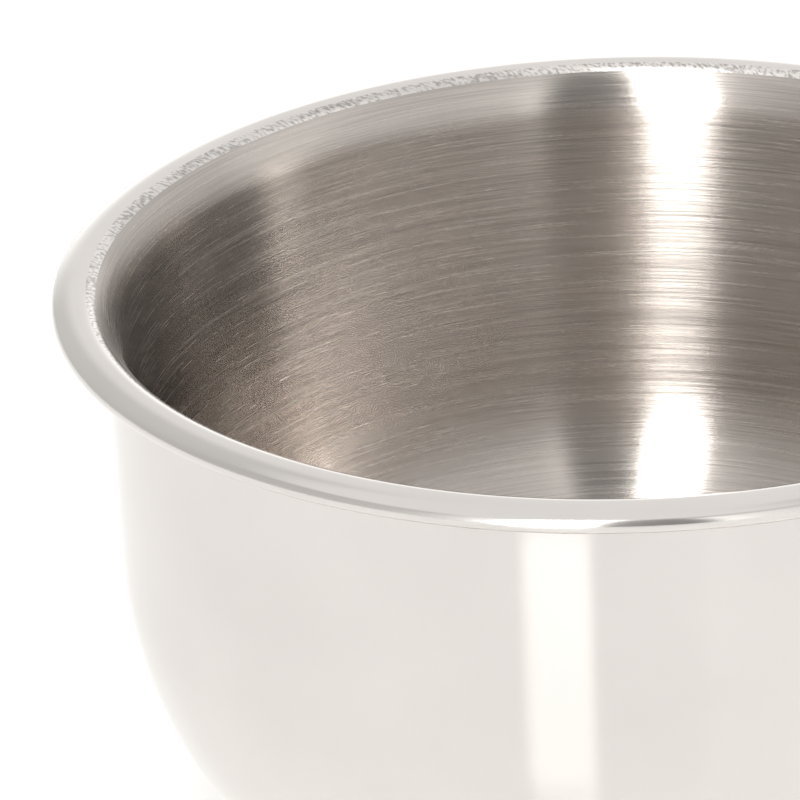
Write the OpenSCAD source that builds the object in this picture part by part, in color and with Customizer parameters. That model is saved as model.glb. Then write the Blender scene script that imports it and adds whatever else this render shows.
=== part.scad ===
// Double-walled stainless steel shaving mug with a riveted strap handle.
// Origin: centre of the flat base, on the surface that the mug stands on.
// +Z is up and +X points from the bowl towards the handle.

/* [Bowl] */
// Outside diameter of the rolled lip
rim_d = 100; // [96:1:104]
// Overall height, from the standing surface to the crest of the lip
mug_h = 56; // [54:1:60]
// Outside diameter of the upright part of the outer wall
wall_d = 91.3; // [90:0.1:91.5]
// Thickness of the drawn steel sheet of both walls
sheet_t = 0.45; // [0.4:0.05:0.5]
// Height of the upright part of the outer wall, below the lip
upright_h = 26; // [24:1:28]

/* [Lip] */
// Radius of the wide flare between the inner wall and the lip
flare_r = 7; // [6:0.5:7.5]
// Radius of the lip's outer edge
roll_r = 0.75; // [0.7:0.05:0.8]

/* [Base] */
// Outside diameter of the short skirt round the base
foot_d = 57; // [52:1:60]
// Height of the skirt's lower edge above the standing surface
skirt_z = 1.2; // [1:0.1:1.6]

/* [Lining] */
// Lean of the inner wall towards the axis, in degrees
lining_lean = 5; // [4.5:0.1:5.5]
// Height of the inner floor above the standing surface
floor_z = 6.5; // [6:0.5:8]
// Inside radius of the corner between the inner wall and the floor
corner_r = 20; // [18:1:22]

/* [Handle] */
// Width of the strap
strap_w = 14; // [12:0.5:16]
// Thickness of the strap
strap_t = 1.8; // [1.6:0.1:2]
// How far the strap's outer face stands out from the axis
reach = 71.4; // [68:0.2:76]
// Diameter of a rivet's shank
shank_d = 2.6; // [2:0.1:3]
// Distance between the two rivets of a pad
rivet_gap = 7; // [6:0.5:7.5]

/* [Hidden] */
$fn = 240;
steps = 12;          // straight pieces in one arc of an outline

// ---- outline helpers: points are [radius, height] ----
function arc(c, r, a0, a1, n = steps) =
    [for (i = [0:n]) let (a = a0 + (a1 - a0) * i / n) c + r * [cos(a), sin(a)]];
function distinct(p) = [for (i = [0:len(p) - 1]) if (i == 0 || norm(p[i] - p[max(i - 1, 0)]) > 0.001) p[i]];
function unit(v) = v / norm(v);
// A copy of the path, moved d to the left of its direction
function beside(p, d) =
    [for (i = [0:len(p) - 1])
        let (t = unit(p[min(i + 1, len(p) - 1)] - p[max(i - 1, 0)]))
        p[i] + d * [-t.y, t.x]];
function backwards(p) = [for (i = [len(p) - 1:-1:0]) p[i]];

// ---- lip ----
wall_r = wall_d / 2;
rim_r = rim_d / 2;
crest_r = rim_r - 2.3;                     // the lip's highest circle
crown_a = 60;                              // where the lip's crown meets its edge
crown_r = (rim_r - crest_r - roll_r) / cos(crown_a) + roll_r;
crown_c = [crest_r, mug_h - crown_r];
roll_c = crown_c + (crown_r - roll_r) * [cos(crown_a), sin(crown_a)];
lip_h = mug_h - roll_c.y + roll_r;
inner_edge_r = 2;                          // rounding from the crest into the flare
flare_a = 135;                             // where that rounding meets the flare
inner_edge_c = [crest_r, mug_h - inner_edge_r];
flare_c = inner_edge_c - (flare_r - inner_edge_r) * [cos(flare_a), sin(flare_a)];
neck_r = 2.5;                              // hollow bend of the shell under the lip
curl_r = wall_r + neck_r + 0.05;           // where the rolled edge ends, under the lip

// ---- outer shell: its outside, from the flange in the lip down to the skirt ----
flange_z = mug_h - lip_h + sheet_t;        // underside of the flange, on top of the curl
flange_r = rim_r - 0.85;
belly_r = 36;                              // upper, slack bend of the belly
belly_a = 24;
belly_z = 2.5;                             // where the lower bend would touch bottom
skirt_bend = 1.2;
foot_r = foot_d / 2;
upright_z = mug_h - upright_h;
belly_c = [wall_r - belly_r, upright_z];
belly_end = belly_c + belly_r * [cos(belly_a), -sin(belly_a)];
heel_r = (belly_end.y - belly_z) / (1 - sin(belly_a));
heel_c = belly_end - heel_r * [cos(belly_a), -sin(belly_a)];
heel_a = acos((foot_r + skirt_bend - heel_c.x) / (heel_r + skirt_bend));
skirt_c = heel_c + (heel_r + skirt_bend) * [cos(heel_a), -sin(heel_a)];
shell_path = distinct(concat(
    [[flange_r, flange_z]],
    arc([wall_r + neck_r, flange_z - neck_r], neck_r, 90, 180),
    arc(belly_c, belly_r, 0, -belly_a),
    arc(heel_c, heel_r, -belly_a, -heel_a, 20),
    arc(skirt_c, skirt_bend, 180 - heel_a, 180, 8),
    [[foot_r, skirt_z]]));
shell_inside = beside(shell_path, -sheet_t);

// ---- inner bowl: its inside, from the middle of the floor up to the flare ----
flare_end = flare_c + flare_r * [-cos(lining_lean), sin(lining_lean)];
corner_z = floor_z + corner_r;
lining_foot_z = corner_z - corner_r * sin(lining_lean);
lining_foot_r = flare_end.x - (flare_end.y - lining_foot_z) * tan(lining_lean);
corner_c = [lining_foot_r - corner_r * cos(lining_lean), corner_z];
bowl_path = distinct(concat(
    [[0, floor_z]],
    arc(corner_c, corner_r, -90, -lining_lean, 20),
    arc(flare_c, flare_r, 180 - lining_lean, flare_a),
    arc(inner_edge_c, inner_edge_r, flare_a, 90, 8)));
// The rolled edge, outside then inside; s is the sheet's thickness taken off
function roll(s) = concat(
    arc(crown_c, crown_r - s, 90, crown_a),
    arc(roll_c, roll_r - s, crown_a, -90),
    [[curl_r, mug_h - lip_h + s]]);

// ---- base plate: its underside, from the middle out and up inside the skirt ----
plate_t = 0.6;
plate_r = foot_r - sheet_t;
plate_bend = 1.5;
plate_top = 2.2;
plate_path = distinct(concat(
    [[0, 0]],
    arc([plate_r - plate_bend, plate_bend], plate_bend, -90, 0),
    [[plate_r, plate_top]]));

// ---- handle: the middle line of the strap, in the plane of the handle ----
pad_h = 8;
strap_bend = 4.5;
upper_z = 39.5;                            // height of the upper rivets
lower_z = 24.5;                            // height of the lower rivets
lower_lean = asin((upright_z - lower_z) / belly_r);
lower_pad = belly_c + belly_r * [cos(lower_lean), -sin(lower_lean)];
lower_out = [cos(lower_lean), -sin(lower_lean)];
lower_up = [sin(lower_lean), cos(lower_lean)];
mid = strap_t / 2;
upper_bend_c = [wall_r + mid + strap_bend, upper_z + pad_h / 2];
lower_bend_c = lower_pad + (mid + strap_bend) * lower_out - pad_h / 2 * lower_up;
top_z = upper_bend_c.y + strap_bend;
bottom_z = lower_bend_c.y - strap_bend;
ear_r = 15;                                // upper, wide turn
ear_low_r = 10;                            // lower, tight turn
ear_a = 12;                                // lean of the strap between the turns
ear_c = [reach - mid - ear_r, top_z - ear_r];
ear_low_z = bottom_z + ear_low_r;
ear_low_c = [ear_c.x + (ear_r - ear_low_r) * cos(ear_a)
             - (ear_c.y - ear_low_z - (ear_r - ear_low_r) * sin(ear_a)) * tan(ear_a), ear_low_z];
strap_path = distinct(concat(
    [[wall_r + mid, upper_z - pad_h / 2]],
    arc(upper_bend_c, strap_bend, 180, 90, 8),
    arc(ear_c, ear_r, 90, -ear_a),
    arc(ear_low_c, ear_low_r, -ear_a, -90),
    arc(lower_bend_c, strap_bend, -90, -180 - lower_lean, 8),
    [lower_pad + mid * lower_out + pad_h / 2 * lower_up]));

// ---- rivets ----
head_d = 5;
head_h = 1.3;
tail_d = 4;
tail_h = 0.45;
backing_t = 0.75;                          // thickness of a backing plate at its middle
backing_h = 7;
backing_w = 12.5;
grip = strap_t + sheet_t + backing_t;      // what a rivet holds together
head_ball = (head_d * head_d / 4 + head_h * head_h) / (2 * head_h);
head_edge = asin(head_d / 2 / head_ball);

// The closed outline between a path and its copy d to the left
module sheet_outline(path, d) {
    polygon(concat(path, backwards(beside(path, d))));
}

// Everything inside a path that runs from the top down
module filled(path) {
    rotate_extrude() polygon(concat(
        [[0, path[len(path) - 1].y], [0, path[0].y]], path));
}

// Moves children onto a pad: local X points out of the wall, from the wall's surface
module at_upper_pad() {
    translate([wall_r, 0, upper_z]) children();
}
module at_lower_pad() {
    translate([lower_pad.x, 0, lower_pad.y]) rotate([0, lower_lean, 0]) children();
}

module both_sides() {
    for (side = [-1, 1])
        translate([0, side * rivet_gap / 2, 0]) children();
}

module shank_holes() {
    both_sides() rotate([0, 90, 0]) cylinder(h = 12, d = shank_d, center = true);
}

// One rivet along X: its head lies on the strap and its tail on the backing plate
module rivet() {
    tail_x = -sheet_t - backing_t;
    rotate([0, 90, 0]) rotate_extrude() polygon(concat(
        [[0, tail_x - tail_h], [tail_d / 2, tail_x - tail_h], [tail_d / 2, tail_x],
         [shank_d / 2, tail_x], [shank_d / 2, strap_t]],
        arc([0, strap_t + head_h - head_ball], head_ball, 90 - head_edge, 90)));
}

module backing_block() {
    translate([-sheet_t - backing_t, -backing_w / 2, -backing_h / 2])
        cube([grip, backing_w, backing_h]);
}

module outer_shell() color([0.86, 0.85, 0.83]) difference() {
    rotate_extrude() sheet_outline(shell_path, -sheet_t);
    at_upper_pad() shank_holes();
    at_lower_pad() shank_holes();
}

module inner_bowl() color([0.62, 0.59, 0.56]) rotate_extrude() polygon(distinct(concat(
    bowl_path, roll(0), backwards(roll(sheet_t)), backwards(beside(bowl_path, -sheet_t)))));

module base_plate() color([0.75, 0.74, 0.72]) rotate_extrude() sheet_outline(plate_path, plate_t);

module handle() color([0.82, 0.81, 0.79]) difference() {
    union() {
        rotate([90, 0, 0]) linear_extrude(strap_w, center = true)
            polygon(concat(beside(strap_path, mid), backwards(beside(strap_path, -mid))));
        // the pads' backs reach the round wall
        at_upper_pad() translate([-1, -strap_w / 2, -pad_h / 2]) cube([1 + mid, strap_w, pad_h]);
        at_lower_pad() translate([-1, -strap_w / 2, -pad_h / 2]) cube([1 + mid, strap_w, pad_h]);
    }
    filled(shell_path);
    at_upper_pad() shank_holes();
    at_lower_pad() shank_holes();
}

module upper_backing_plate() color([0.55, 0.54, 0.53]) difference() {
    intersection() {
        at_upper_pad() backing_block();
        filled(shell_inside);
    }
    at_upper_pad() shank_holes();
}

module lower_backing_plate() color([0.55, 0.54, 0.53]) difference() {
    intersection() {
        at_lower_pad() backing_block();
        filled(shell_inside);
    }
    at_lower_pad() shank_holes();
}

module upper_rivets() color([0.9, 0.89, 0.87]) at_upper_pad() both_sides() rivet();

module lower_rivets() color([0.9, 0.89, 0.87]) at_lower_pad() both_sides() rivet();

outer_shell();
inner_bowl();
base_plate();
handle();
upper_backing_plate();
lower_backing_plate();
upper_rivets();
lower_rivets();
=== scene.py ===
"""Looks of the double-walled steel shaving mug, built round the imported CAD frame."""

import math

import bmesh
import bpy
from mathutils import Matrix, Vector


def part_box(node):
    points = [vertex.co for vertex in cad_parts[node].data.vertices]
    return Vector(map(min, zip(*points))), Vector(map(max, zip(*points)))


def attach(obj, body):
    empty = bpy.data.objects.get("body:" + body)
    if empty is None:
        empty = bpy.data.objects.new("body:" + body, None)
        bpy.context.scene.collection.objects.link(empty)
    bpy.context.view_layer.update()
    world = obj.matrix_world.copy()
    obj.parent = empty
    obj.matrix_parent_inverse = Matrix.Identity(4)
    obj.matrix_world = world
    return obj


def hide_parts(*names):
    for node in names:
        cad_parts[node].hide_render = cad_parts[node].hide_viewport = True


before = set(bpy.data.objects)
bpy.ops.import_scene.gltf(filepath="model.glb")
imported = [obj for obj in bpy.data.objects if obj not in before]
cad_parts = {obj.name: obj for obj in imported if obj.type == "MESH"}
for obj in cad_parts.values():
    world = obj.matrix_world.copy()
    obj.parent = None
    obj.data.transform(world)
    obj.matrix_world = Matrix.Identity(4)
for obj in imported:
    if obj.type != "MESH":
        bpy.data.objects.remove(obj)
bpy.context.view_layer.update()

MM = 0.001
BODY = "root"
TURNS = 256          # straight sides of a turned piece

# ---- sizes read from the frame ----
bowl_lo, bowl_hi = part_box("inner_bowl")
shell_lo, shell_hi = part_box("outer_shell")
plate_lo, plate_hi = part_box("base_plate")
strap_lo, strap_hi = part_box("handle")
RIM_R = bowl_hi.y
TOP_Z = bowl_hi.z
FLOOR_Z = bowl_lo.z

# ---- sizes repeated from the CAD source, in metres ----
SHEET = 0.45 * MM
WALL_R = 45.65 * MM
BELLY_R = 36 * MM
UPRIGHT_H = 26 * MM
UPPER_RIVET_Z = 39.5 * MM
LOWER_RIVET_Z = 24.5 * MM
STRAP_T = 1.8 * MM
PAD_H = 8 * MM


# ---- outlines: lists of (radius, height) ----
def arc(cx, cz, r, a0, a1, n=16):
    """Points of a circular arc, angles in degrees."""
    turn = [math.radians(a0 + (a1 - a0) * i / n) for i in range(n + 1)]
    return [(cx + r * math.cos(a), cz + r * math.sin(a)) for a in turn]


def beside(path, gap):
    """The path moved sideways by gap, to the left of its direction."""
    moved = []
    for i, (x, z) in enumerate(path):
        ax, az = path[max(i - 1, 0)]
        bx, bz = path[min(i + 1, len(path) - 1)]
        size = math.hypot(bx - ax, bz - az)
        moved.append((x - gap * (bz - az) / size, z + gap * (bx - ax) / size))
    return moved


def distinct(path):
    """The path without points that repeat the one before."""
    kept = [path[0]]
    for point in path[1:]:
        if math.dist(point, kept[-1]) > 0.002 * MM:
            kept.append(point)
    return kept


def straight(a, b, n):
    """n steps from a to b, both ends included."""
    return [(a[0] + (b[0] - a[0]) * i / n, a[1] + (b[1] - a[1]) * i / n) for i in range(n + 1)]


# ---- mesh helpers ----
def add_object(name, mesh, nodes, material):
    """Puts a finished mesh in the scene as a piece that stands for CAD nodes."""
    piece = bpy.data.objects.new(name, mesh)
    bpy.context.collection.objects.link(piece)
    mesh.materials.append(material)
    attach(piece, BODY)
    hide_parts(*nodes)
    return piece


def smooth(mesh, limit=40):
    """Smooth shading, with edges sharper than the limit kept crisp."""
    mesh.shade_smooth()
    mesh.set_sharp_from_angle(angle=math.radians(limit))


def lathe(name, outline):
    """Turns a closed outline about Z. Points on the axis become one vertex."""
    bm = bmesh.new()
    rings = []
    for r, z in outline:
        if r < 1e-7:
            rings.append([bm.verts.new((0, 0, z))])
        else:
            angles = [2 * math.pi * k / TURNS for k in range(TURNS)]
            rings.append([bm.verts.new((r * math.cos(a), r * math.sin(a), z)) for a in angles])
    for ring, after in zip(rings, rings[1:] + rings[:1]):
        if len(ring) == 1 and len(after) == 1:
            continue
        for k in range(TURNS):
            j = (k + 1) % TURNS
            corners = [ring[k % len(ring)], ring[j % len(ring)],
                       after[j % len(after)], after[k % len(after)]]
            bm.faces.new(list(dict.fromkeys(corners)))
    bmesh.ops.recalc_face_normals(bm, faces=bm.faces)
    mesh = bpy.data.meshes.new(name)
    bm.to_mesh(mesh)
    bm.free()
    smooth(mesh)
    return mesh


# ---- node helpers ----
def new_material(name):
    """A material with a Principled shader. Returns it with its tree and the shader."""
    material = bpy.data.materials.new(name)
    material.use_nodes = True
    tree = material.node_tree
    return material, tree, tree.nodes["Principled BSDF"]


def feed(tree, value, socket):
    """Joins a socket to another, or sets it to a constant."""
    if isinstance(value, bpy.types.NodeSocket):
        tree.links.new(value, socket)
    else:
        socket.default_value = value


def math_node(tree, operation, *values):
    """The result of one sum on sockets or numbers."""
    node = tree.nodes.new("ShaderNodeMath")
    node.operation = operation
    for value, socket in zip(values, node.inputs):
        feed(tree, value, socket)
    return node.outputs[0]


def ramp(tree, factor, stops):
    """A colour ramp through (place, colour or grey) stops."""
    node = tree.nodes.new("ShaderNodeValToRGB")
    elements = node.color_ramp.elements
    while len(elements) < len(stops):
        elements.new(0.5)
    for element, (place, colour) in zip(elements, stops):
        element.position = place
        rgb = colour if isinstance(colour, tuple) else (colour,) * 3
        element.color = (*rgb, 1)
    feed(tree, factor, node.inputs["Fac"])
    return node.outputs["Color"]


def blended(tree, factor, a, b):
    """Colour a where the factor is 0 and b where it is 1."""
    node = tree.nodes.new("ShaderNodeMix")
    node.data_type = "RGBA"
    for value, key in ((factor, "Factor"), (a, "A"), (b, "B")):
        feed(tree, value, node.inputs[key])
    return node.outputs["Result"]


def noise(tree, vector, scale, detail, w=None):
    """Cloudy noise; w adds a fourth coordinate."""
    node = tree.nodes.new("ShaderNodeTexNoise")
    node.noise_dimensions = "3D" if w is None else "4D"
    feed(tree, vector, node.inputs["Vector"])
    feed(tree, scale, node.inputs["Scale"])
    feed(tree, detail, node.inputs["Detail"])
    if w is not None:
        feed(tree, w, node.inputs["W"])
    return node.outputs["Fac"]


def object_point(tree):
    """The surface point in the object's own frame: vector, x, y, z and distance from the axis."""
    vector = tree.nodes.new("ShaderNodeTexCoord").outputs["Object"]
    split = tree.nodes.new("ShaderNodeSeparateXYZ")
    tree.links.new(vector, split.inputs[0])
    x, y, z = split.outputs
    radius = math_node(tree, "SQRT", math_node(
        tree, "ADD", math_node(tree, "MULTIPLY", x, x), math_node(tree, "MULTIPLY", y, y)))
    return vector, x, y, z, radius


def joined(tree, x, y, z):
    """A vector from three sockets or numbers."""
    node = tree.nodes.new("ShaderNodeCombineXYZ")
    for value, socket in zip((x, y, z), node.inputs):
        feed(tree, value, socket)
    return node.outputs[0]


def bump(tree, height, distance):
    """A normal from a height, where distance is the depth in metres."""
    node = tree.nodes.new("ShaderNodeBump")
    feed(tree, distance, node.inputs["Distance"])
    feed(tree, height, node.inputs["Height"])
    return node.outputs["Normal"]


def remap(tree, value, a0, a1, b0, b1):
    """The value, held between a0 and a1 and spread over b0 to b1."""
    node = tree.nodes.new("ShaderNodeMapRange")
    feed(tree, value, node.inputs["Value"])
    for key, number in zip(("From Min", "From Max", "To Min", "To Max"), (a0, a1, b0, b1)):
        node.inputs[key].default_value = number
    return node.outputs["Result"]


def streaks(tree, along, across, wander, seed):
    """Place for noise that makes fine lines round the axis, as a vector and a fourth coordinate."""
    vector, x, y, z, radius = object_point(tree)
    waver = noise(tree, vector, 30.0, 1.0)
    shift = math_node(tree, "MULTIPLY", waver, wander)
    height = math_node(tree, "MULTIPLY", math_node(tree, "ADD", z, shift), across)
    out = math_node(tree, "MULTIPLY_ADD", radius, across, seed)
    flat = joined(tree, math_node(tree, "MULTIPLY", x, along),
                  math_node(tree, "MULTIPLY", y, along), height)
    return flat, out


# ---- materials ----
SMUDGE = 0.02        # how much lighter and darker smudges are
SLANT = 18.0         # turn of the rim scratches, in radians per metre inwards


def brushed_steel(name, colour, roughness, anisotropy, depth):
    """Steel brushed round the axis: stretched highlights, fine lines and a few longer scratches.

    depth: how deep the fine lines are cut, in metres.
    """
    material, tree, shader = new_material(name)
    fine_at, fine_out = streaks(tree, 90, 7000, 0.0002, 3.0)
    wide_at, wide_out = streaks(tree, 60, 2200, 0.0004, 11.0)
    long_at, long_out = streaks(tree, 45, 3800, 0.0015, 29.0)
    fine = noise(tree, fine_at, 1.0, 3.0, w=fine_out)
    wide = noise(tree, wide_at, 1.0, 2.0, w=wide_out)
    long_lines = noise(tree, long_at, 1.0, 1.0, w=long_out)
    both = math_node(tree, "ADD", math_node(tree, "MULTIPLY", fine, 0.72),
                     math_node(tree, "MULTIPLY", wide, 0.28))
    dark, light = [tuple(c * k for c in colour) for k in (0.84, 1.1)]
    base = ramp(tree, both, [(0.36, dark), (0.64, light)])
    scratch = remap(tree, long_lines, 0.7, 0.78, 0, 0.5)
    bright = (*[min(1, c * 1.35) for c in colour], 1)
    tree.links.new(blended(tree, scratch, base, bright), shader.inputs["Base Color"])
    tree.links.new(remap(tree, both, 0.36, 0.64, roughness * 0.88, roughness * 1.12),
                   shader.inputs["Roughness"])
    shader.inputs["Metallic"].default_value = 1.0
    shader.inputs["Anisotropic"].default_value = anisotropy
    shader.inputs["Anisotropic Rotation"].default_value = 0.25
    tangent = tree.nodes.new("ShaderNodeTangent")
    tangent.direction_type = "RADIAL"
    tangent.axis = "Z"
    tree.links.new(tangent.outputs[0], shader.inputs["Tangent"])
    tree.links.new(bump(tree, fine, depth), shader.inputs["Normal"])
    return material


def slant_brushed(name, colour, roughness):
    """The narrow band inside the crest, with short scratches that slant across the rim."""
    material, tree, shader = new_material(name)
    vector, x, y, z, radius = object_point(tree)
    turn = tree.nodes.new("ShaderNodeVectorRotate")
    turn.rotation_type = "Z_AXIS"
    tree.links.new(joined(tree, x, y, 0.0), turn.inputs["Vector"])
    inward = math_node(tree, "SUBTRACT", CREST_R, radius)
    tree.links.new(math_node(tree, "MULTIPLY", inward, SLANT), turn.inputs["Angle"])
    spread = tree.nodes.new("ShaderNodeVectorMath")
    spread.operation = "SCALE"
    tree.links.new(turn.outputs[0], spread.inputs[0])
    spread.inputs["Scale"].default_value = 2600
    split = tree.nodes.new("ShaderNodeSeparateXYZ")
    tree.links.new(spread.outputs[0], split.inputs[0])
    place = joined(tree, split.outputs[0], split.outputs[1], math_node(tree, "MULTIPLY", z, 700))
    marks = noise(tree, place, 1.0, 2.0)
    patches = noise(tree, vector, 110.0, 2.0)
    dark, light = [tuple(c * k for c in colour) for k in (0.62, 1.08)]
    both = math_node(tree, "ADD", math_node(tree, "MULTIPLY", marks, 0.75),
                     math_node(tree, "MULTIPLY", patches, 0.25))
    tree.links.new(ramp(tree, both, [(0.4, dark), (0.56, light)]), shader.inputs["Base Color"])
    shader.inputs["Metallic"].default_value = 1.0
    shader.inputs["Roughness"].default_value = roughness
    tree.links.new(bump(tree, marks, 0.000003), shader.inputs["Normal"])
    return material


def polished_steel(name, colour, roughness):
    """Mirror-polished steel with faint smudges and a trace of unevenness."""
    material, tree, shader = new_material(name)
    vector = tree.nodes.new("ShaderNodeTexCoord").outputs["Object"]
    cloud = noise(tree, vector, 60.0, 4.0)
    low, high = [tuple(c * k for c in colour) for k in (1 - SMUDGE, 1 + SMUDGE)]
    tree.links.new(ramp(tree, cloud, [(0.35, low), (0.65, high)]), shader.inputs["Base Color"])
    tree.links.new(remap(tree, cloud, 0.3, 0.7, roughness * 0.8, roughness * 1.3),
                   shader.inputs["Roughness"])
    shader.inputs["Metallic"].default_value = 1.0
    wave = noise(tree, vector, 35.0, 1.0)
    tree.links.new(bump(tree, wave, 0.00002), shader.inputs["Normal"])
    return material


def floor_paint():
    """White, slightly glossy paint for the studio floor."""
    material, tree, shader = new_material("floor_paint")
    vector = tree.nodes.new("ShaderNodeTexCoord").outputs["Object"]
    mottle = noise(tree, vector, 4.0, 2.0)
    tree.links.new(ramp(tree, mottle, [(0.3, 0.8), (0.7, 0.81)]), shader.inputs["Base Color"])
    shader.inputs["Roughness"].default_value = 0.08
    shader.inputs["Specular IOR Level"].default_value = 0.07
    return material


# ---- the pieces: sizes of the lip and lining, repeated from the CAD source ----
CREST_R = RIM_R - 2.3 * MM           # the lip's highest circle
CROWN_A = 60                         # where the lip's crown meets its edge, in degrees
ROLL_R = 0.75 * MM                   # the lip's outer edge
CROWN_R = (RIM_R - CREST_R - ROLL_R) / math.cos(math.radians(CROWN_A)) + ROLL_R
ROLL_Z = TOP_Z - CROWN_R + (CROWN_R - ROLL_R) * math.sin(math.radians(CROWN_A))
LIP_H = TOP_Z - ROLL_Z + ROLL_R
NECK_R = 2.5 * MM                    # hollow bend of the shell under the lip
CURL_R = WALL_R + NECK_R + 0.05 * MM
INNER_EDGE_R = 2.0 * MM
FLARE_R = 7.0 * MM
FLARE_A = 135
LEAN = 5                             # of the inner wall, in degrees
CORNER_R = 20 * MM


def direction(angle):
    """Unit step at an angle in degrees, as (outward, upward)."""
    return math.cos(math.radians(angle)), math.sin(math.radians(angle))


def bowl_outline():
    """Inside of the lining, then the rolled lip, then the lining's back."""
    inner_floor = FLOOR_Z + SHEET
    edge_low_z = TOP_Z - INNER_EDGE_R
    flare_x = CREST_R - (FLARE_R - INNER_EDGE_R) * direction(FLARE_A)[0]
    flare_z = edge_low_z - (FLARE_R - INNER_EDGE_R) * direction(FLARE_A)[1]
    end_x = flare_x - FLARE_R * direction(LEAN)[0]
    end_z = flare_z + FLARE_R * direction(LEAN)[1]
    corner_z = inner_floor + CORNER_R
    foot_z = corner_z - CORNER_R * direction(LEAN)[1]
    foot_r = end_x - (end_z - foot_z) * math.tan(math.radians(LEAN))
    corner_x = foot_r - CORNER_R * direction(LEAN)[0]
    inside = distinct(
        straight((0, inner_floor), (corner_x, inner_floor), 8)
        + arc(corner_x, corner_z, CORNER_R, -90, -LEAN, 48)
        + straight((foot_r, foot_z), (end_x, end_z), 24)
        + arc(flare_x, flare_z, FLARE_R, 180 - LEAN, FLARE_A, 24)
        + arc(CREST_R, edge_low_z, INNER_EDGE_R, FLARE_A, 90, 20))

    def roll(s):
        """The rolled edge, with the sheet's thickness s taken off."""
        return (arc(CREST_R, TOP_Z - CROWN_R, CROWN_R - s, 90, CROWN_A, 16)
                + arc(RIM_R - ROLL_R, ROLL_Z, ROLL_R - s, CROWN_A, -90, 32)
                + [(CURL_R, TOP_Z - LIP_H + s)])

    return distinct(inside + roll(0) + roll(SHEET)[::-1] + beside(inside, -SHEET)[::-1])


def shell_outline():
    """Outside of the shell from its flange down to the skirt, then its inside."""
    flange_z = TOP_Z - LIP_H + SHEET
    belly_a = 24
    upright_z = TOP_Z - UPRIGHT_H
    belly_z = 2.5 * MM
    skirt_bend = 1.2 * MM
    foot_r = plate_hi.y + SHEET
    cos_a, sin_a = math.cos(math.radians(belly_a)), math.sin(math.radians(belly_a))
    belly_x = WALL_R - BELLY_R
    end_x, end_z = belly_x + BELLY_R * cos_a, upright_z - BELLY_R * sin_a
    heel_r = (end_z - belly_z) / (1 - sin_a)
    heel_x, heel_z = end_x - heel_r * cos_a, end_z + heel_r * sin_a
    heel_a = math.degrees(math.acos((foot_r + skirt_bend - heel_x) / (heel_r + skirt_bend)))
    skirt_x = heel_x + (heel_r + skirt_bend) * math.cos(math.radians(heel_a))
    skirt_z = heel_z - (heel_r + skirt_bend) * math.sin(math.radians(heel_a))
    outside = distinct(
        [(shell_hi.y, flange_z)]
        + arc(WALL_R + NECK_R, flange_z - NECK_R, NECK_R, 90, 180, 16)
        + straight((WALL_R, flange_z - NECK_R), (WALL_R, upright_z), 16)
        + arc(belly_x, upright_z, BELLY_R, 0, -belly_a, 40)
        + arc(heel_x, heel_z, heel_r, -belly_a, -heel_a, 60)
        + arc(skirt_x, skirt_z, skirt_bend, 180 - heel_a, 180, 10)
        + [(foot_r, shell_lo.z)])
    return outside + beside(outside, -SHEET)[::-1]


def plate_outline():
    """Underside of the base disc and its upright edge, then its upper side."""
    thick = 0.6 * MM
    bend = 1.5 * MM
    edge_r = plate_hi.y
    under = distinct(
        straight((0, 0), (edge_r - bend, 0), 12)
        + arc(edge_r - bend, bend, bend, -90, 0, 12)
        + [(edge_r, plate_hi.z)])
    return under + beside(under, thick)[::-1]


def strap_line():
    """Middle line of the handle's strap as (x, z), from the upper pad round to the lower one."""
    mid, half, bend = STRAP_T / 2, PAD_H / 2, 4.5 * MM
    wide, tight, ear_a = 15 * MM, 10 * MM, 12
    belly_x, belly_z = WALL_R - BELLY_R, TOP_Z - UPRIGHT_H
    lean = math.degrees(math.asin((belly_z - LOWER_RIVET_Z) / BELLY_R))
    out_x, out_z = direction(-lean)
    up_x, up_z = -out_z, out_x
    pad_x = belly_x + (BELLY_R + mid) * out_x
    pad_z = belly_z + (BELLY_R + mid) * out_z
    high_x, high_z = WALL_R + mid + bend, UPPER_RIVET_Z + half
    low_x, low_z = pad_x + bend * out_x - half * up_x, pad_z + bend * out_z - half * up_z
    ear_x, ear_z = strap_hi.x - mid - wide, high_z + bend - wide
    turn_z = low_z - bend + tight
    side, rise = direction(ear_a)
    turn_x = ear_x + (wide - tight) * side - (ear_z - turn_z - (wide - tight) * rise) * rise / side
    return distinct(
        straight((WALL_R + mid, UPPER_RIVET_Z - half), (WALL_R + mid, high_z), 16)
        + arc(high_x, high_z, bend, 180, 90, 14)
        + arc(ear_x, ear_z, wide, 90, -ear_a, 36)
        + arc(turn_x, turn_z, tight, -ear_a, -90, 24)
        + arc(low_x, low_z, bend, -90, -180 - lean, 16)
        + straight((pad_x - half * up_x, pad_z - half * up_z),
                   (pad_x + half * up_x, pad_z + half * up_z), 16))


def wall_radius(z):
    """Radius of the shell's outside at a height on its upright part or upper belly."""
    below = max(TOP_Z - UPRIGHT_H - z, 0)
    return WALL_R - BELLY_R + math.sqrt(BELLY_R ** 2 - below ** 2)


def rounding(inside, radius):
    """How far a rounded edge draws in at this distance inside the end."""
    if inside >= radius:
        return 0
    return radius - math.sqrt(radius ** 2 - (radius - inside) ** 2)


def strap_section(wide, thick, r):
    """Outline of the strap cut across, as (sideways, towards the wall), with edges rounded by r."""
    flat_steps = 12
    section = []
    for side, face, start in ((1, 1, 0), (-1, 1, 90), (-1, -1, 180), (1, -1, 270)):
        section += arc(side * (wide - r), face * (thick - r), r, start, start + 90, 4)
        if side == face:
            near, far = side * (wide - r), side * (r - wide)
            section += [(near + (far - near) * k / flat_steps, face * thick)
                        for k in range(1, flat_steps)]
    return section


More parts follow.
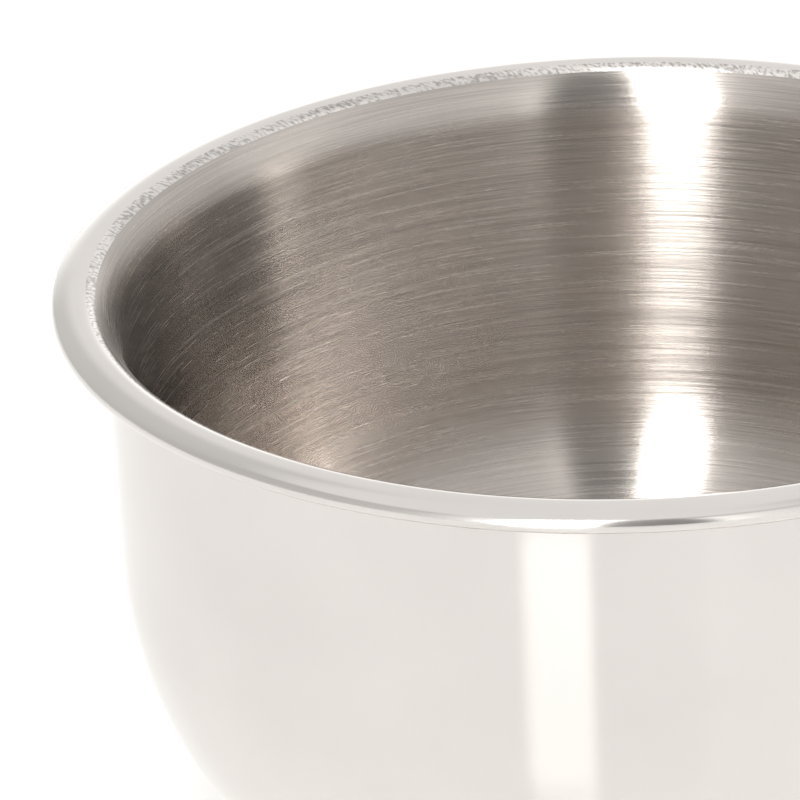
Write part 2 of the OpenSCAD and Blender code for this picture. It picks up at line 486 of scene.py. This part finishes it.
def strap_mesh(name):
    """A flat strap with rounded edges along its middle line; its pads' backs follow the wall."""
    line = strap_line()
    edge, corner, fade = 0.45 * MM, 2 * MM, 3 * MM
    least_edge = 0.05 * MM
    lengths = [0]
    for a, b in zip(line, line[1:]):
        lengths.append(lengths[-1] + math.dist(a, b))
    bm = bmesh.new()
    rings = []
    for i, (x, z) in enumerate(line):
        ax, az = line[max(i - 1, 0)]
        bx, bz = line[min(i + 1, len(line) - 1)]
        size = math.hypot(bx - ax, bz - az)
        left_x, left_z = -(bz - az) / size, (bx - ax) / size
        from_end = min(lengths[i], lengths[-1] - lengths[i])
        draw_in = rounding(from_end, edge)
        wide = strap_hi.y - draw_in - rounding(from_end, corner)
        thick = STRAP_T / 2 - draw_in
        r = max(edge - draw_in, least_edge)
        hug = min(max((PAD_H + fade - from_end) / fade, 0), 1)
        ring = []
        for v, u in strap_section(wide, thick, r):
            px, pz = x + u * left_x, z + u * left_z
            if u > thick - r:
                wall = math.sqrt(wall_radius(pz) ** 2 - v ** 2)
                px += hug * (wall + thick - u - px)
            ring.append(bm.verts.new((px, v, pz)))
        rings.append(ring)
    count = len(rings[0])
    for ring, after in zip(rings, rings[1:]):
        for k in range(count):
            j = (k + 1) % count
            bm.faces.new((ring[k], ring[j], after[j], after[k]))
    bm.faces.new(rings[0])
    bm.faces.new(rings[-1][::-1])
    bmesh.ops.triangulate(bm, faces=[face for face in bm.faces if len(face.verts) > 4])
    bmesh.ops.recalc_face_normals(bm, faces=bm.faces)
    mesh = bpy.data.meshes.new(name)
    bm.to_mesh(mesh)
    bm.free()
    smooth(mesh, 50)
    return mesh


# ---- looks: polish beyond one radius, slanting scratches between the two, brushing inside ----
POLISH_R = 46.9 * MM
SLANT_R = 46.1 * MM
warm_steel = (0.53, 0.493, 0.462)
mirror_steel = (0.69, 0.663, 0.64)

bowl = add_object("bowl_lining", lathe("bowl_lining", bowl_outline()), ["inner_bowl"],
                  brushed_steel("brushed_bowl", warm_steel, 0.25, 1.0, 0.000012))
bowl.data.materials.append(polished_steel("lip_polish", mirror_steel, 0.13))
bowl.data.materials.append(slant_brushed("rim_scratches", mirror_steel, 0.24))
for face in bowl.data.polygons:
    out = math.hypot(face.center.x, face.center.y)
    face.material_index = 1 if out > POLISH_R else 2 if out > SLANT_R else 0
add_object("shell", lathe("shell", shell_outline()), ["outer_shell"],
           polished_steel("shell_polish", mirror_steel, 0.05))
add_object("base_disc", lathe("base_disc", plate_outline()), ["base_plate"],
           brushed_steel("base_satin", warm_steel, 0.35, 0.6, 0.00002))

handle_polish = polished_steel("handle_polish", mirror_steel, 0.06)
add_object("strap", strap_mesh("strap"), ["handle"], handle_polish)
mill = brushed_steel("mill_steel", warm_steel, 0.4, 0.3, 0.00002)
cad_looks = (("upper_rivets", handle_polish), ("lower_rivets", handle_polish),
             ("upper_backing_plate", mill), ("lower_backing_plate", mill))
for node_name, node_material in cad_looks:
    node_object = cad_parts[node_name]
    node_object.data.materials.clear()
    node_object.data.materials.append(node_material)


# ---- floor, light and camera ----
FLOOR_DROP = -0.1 * MM       # keeps the floor clear of the base disc


def make_floor():
    bm = bmesh.new()
    bmesh.ops.create_grid(bm, x_segments=8, y_segments=8, size=3.0)
    bmesh.ops.translate(bm, verts=bm.verts, vec=(0, 0, FLOOR_DROP))
    mesh = bpy.data.meshes.new("floor")
    bm.to_mesh(mesh)
    bm.free()
    floor = bpy.data.objects.new("floor", mesh)
    bpy.context.collection.objects.link(floor)
    mesh.materials.append(floor_paint())


def make_world():
    """A white studio tent. Its panels differ by compass direction and height."""
    world = bpy.data.worlds.new("tent")
    bpy.context.scene.world = world
    world.use_nodes = True
    tree = world.node_tree
    vector = tree.nodes.new("ShaderNodeTexCoord").outputs["Generated"]
    split = tree.nodes.new("ShaderNodeSeparateXYZ")
    tree.links.new(vector, split.inputs[0])
    x, y, z = split.outputs
    compass = math_node(tree, "ARCTAN2", x, math_node(tree, "MULTIPLY", y, -1.0))
    place = math_node(tree, "MULTIPLY_ADD", compass, 0.5 / math.pi, 0.5)
    low = ramp(tree, place, PANELS)
    high = ramp(tree, place, HIGH_PANELS)
    tent = blended(tree, remap(tree, z, 0.78, 0.86, 0, 1), low, high)
    tent = blended(tree, remap(tree, z, 0.93, 0.98, 0, 1), tent, ROOF)
    low_down = remap(tree, z, 0.08, 0.34, 1, 0)
    behind = remap(tree, y, 0.85, 0.97, 0, 1)
    horizon = math_node(tree, "MULTIPLY", low_down, behind)
    tent = blended(tree, horizon, tent, HORIZON)
    to_camera = tree.nodes.new("ShaderNodeLightPath").outputs["Is Camera Ray"]
    seen = blended(tree, to_camera, tent, (1, 1, 1, 1))
    tree.links.new(seen, tree.nodes["Background"].inputs["Color"])


def degrees_place(angle):
    """Place on the compass ramp of an angle: 0 towards the camera, 90 towards +X."""
    return angle / 360 + 0.5


def grey(value):
    """A panel's light, a little warm."""
    return 1.01 * value, value, 0.985 * value


PANELS = [(degrees_place(angle), grey(value)) for angle, value in (
    (-180, 1.02), (-165, 0.98), (-155, 0.78), (-90, 0.66), (-45, 0.72), (-32, 1.0), (-24, 1.3),
    (-20.6, 15.0), (-9.0, 15.0), (-6.6, 0.32), (16.4, 0.28), (17.8, 1.9), (24, 1.2), (40, 0.98),
    (68, 0.98), (76, 1.15), (99, 1.15), (102, 0.9), (146, 0.9), (152, 1.0), (179, 1.02))]
HIGH_PANELS = [(degrees_place(angle), grey(value)) for angle, value in (
    (-180, 1.02), (-24, 1.0), (-20.6, 15.0), (-9.0, 15.0), (-6.6, 0.4), (16.4, 0.35), (18, 0.8),
    (68, 0.8), (146, 0.8), (152, 1.0), (179, 1.02))]
ROOF = (*grey(1.02), 1)
HORIZON = (*grey(1.5), 1)


def make_floor_light():
    """A large soft light overhead that lifts the floor without showing in the steel."""
    light = bpy.data.lights.new("overhead", "AREA")
    light.shape = "DISK"
    light.size = 1.6
    light.energy = 0.5
    lamp = bpy.data.objects.new("overhead", light)
    bpy.context.collection.objects.link(lamp)
    lamp.location = (0, 0, 1.5)
    lamp.visible_glossy = False


def make_camera():
    """The camera looks over the left front of the lip, slightly turned and rolled."""
    elevation = math.radians(23.72)
    away = 0.35
    pitch = math.radians(25.72)
    yaw = math.radians(-3.56)
    roll = math.radians(2.98)
    focal_ratio = 3970 / 800           # focal length over picture width
    level = math.cos(pitch)
    forward = Vector((math.sin(yaw) * level, math.cos(yaw) * level, -math.sin(pitch)))
    right = Vector((math.cos(yaw), -math.sin(yaw), 0))
    down = forward.cross(right)
    turned_right = math.cos(roll) * right + math.sin(roll) * down
    turned_down = math.cos(roll) * down - math.sin(roll) * right
    camera = bpy.data.objects.new("camera", bpy.data.cameras.new("camera"))
    bpy.context.collection.objects.link(camera)
    camera.data.sensor_width = 36
    camera.data.lens = focal_ratio * camera.data.sensor_width
    place = Vector((0, 0, TOP_Z)) + away * Vector((0, -math.cos(elevation), math.sin(elevation)))
    axes = Matrix((turned_right, -turned_down, -forward)).transposed()
    camera.matrix_world = Matrix.Translation(place) @ axes.to_4x4()
    camera.data.clip_start = 0.01
    bpy.context.scene.camera = camera


make_floor()
make_world()
make_floor_light()
make_camera()
bpy.context.scene.view_settings.view_transform = "Standard"
bpy.context.scene.cycles.blur_glossy = 0.05
